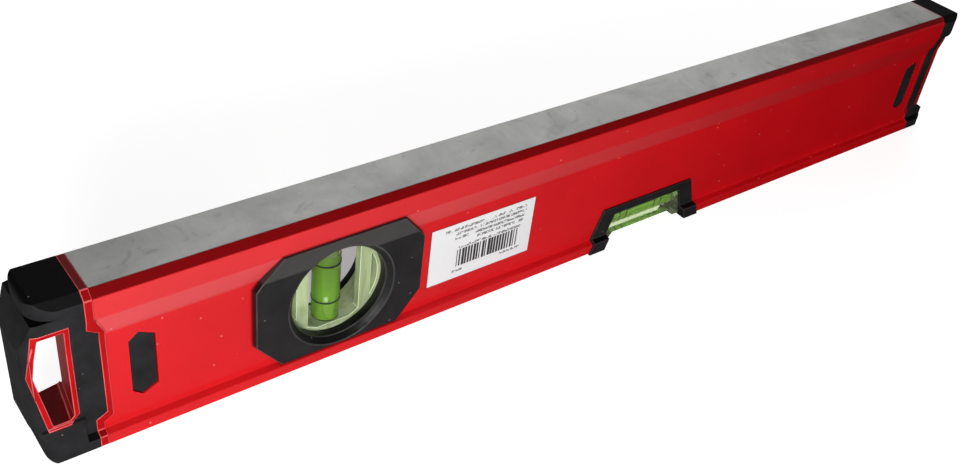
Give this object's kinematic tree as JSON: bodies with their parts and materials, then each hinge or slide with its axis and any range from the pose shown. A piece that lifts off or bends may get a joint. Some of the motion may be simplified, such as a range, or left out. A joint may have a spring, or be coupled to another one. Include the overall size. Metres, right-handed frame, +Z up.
{
  "type": "box beam spirit level",
  "caption": "Hollow box beam level with a milled measuring face, a round plumb window, a level vial in an edge notch and rubber end caps, one with a hang hole.",
  "frame": {"origin": "middle of the bottom of the whole level, under the narrow edge that holds the notch", "axes": "+X along the beam from the cap with the hang hole to the plain cap, +Z up out of the milled measuring face, -Y towards the side with the sticker"},
  "size_m": [0.4344, 0.0244, 0.06],
  "materials": {
    "red_coat": "gloss powder coat over aluminium, with the measuring face milled bare",
    "red_plastic": "moulded hard plastic, satin",
    "black_rubber": "fine matt overmoulded rubber",
    "black_plastic": "fine grained moulded plastic",
    "clear_acrylic": "clear cast acrylic with a green tint at its edges",
    "green_liquid": "clear yellow green liquid",
    "ring_ink": "matt black ink",
    "label_film": "white printed film"
  },
  "bodies": {
    "root": {"beam": "red_coat", "near_cap_core": "red_plastic", "near_cap_bumper": "black_rubber", "near_insert_front": "black_rubber", "near_insert_back": "black_rubber", "far_cap_core": "red_plastic", "far_cap_bumper": "black_rubber", "far_insert_front": "black_rubber", "far_insert_back": "black_rubber", "plumb_bezel_front": "black_plastic", "plumb_bezel_back": "black_plastic", "plumb_carrier": "clear_acrylic", "plumb_vial": "clear_acrylic", "plumb_stopper": "clear_acrylic", "plumb_liquid": "green_liquid", "plumb_rings": "ring_ink", "level_frame_front": "black_plastic", "level_frame_back": "black_plastic", "level_vial": "clear_acrylic", "level_stopper": "clear_acrylic", "level_liquid": "green_liquid", "level_rings": "ring_ink", "label": "label_film"}
  },
  "joints": []
}
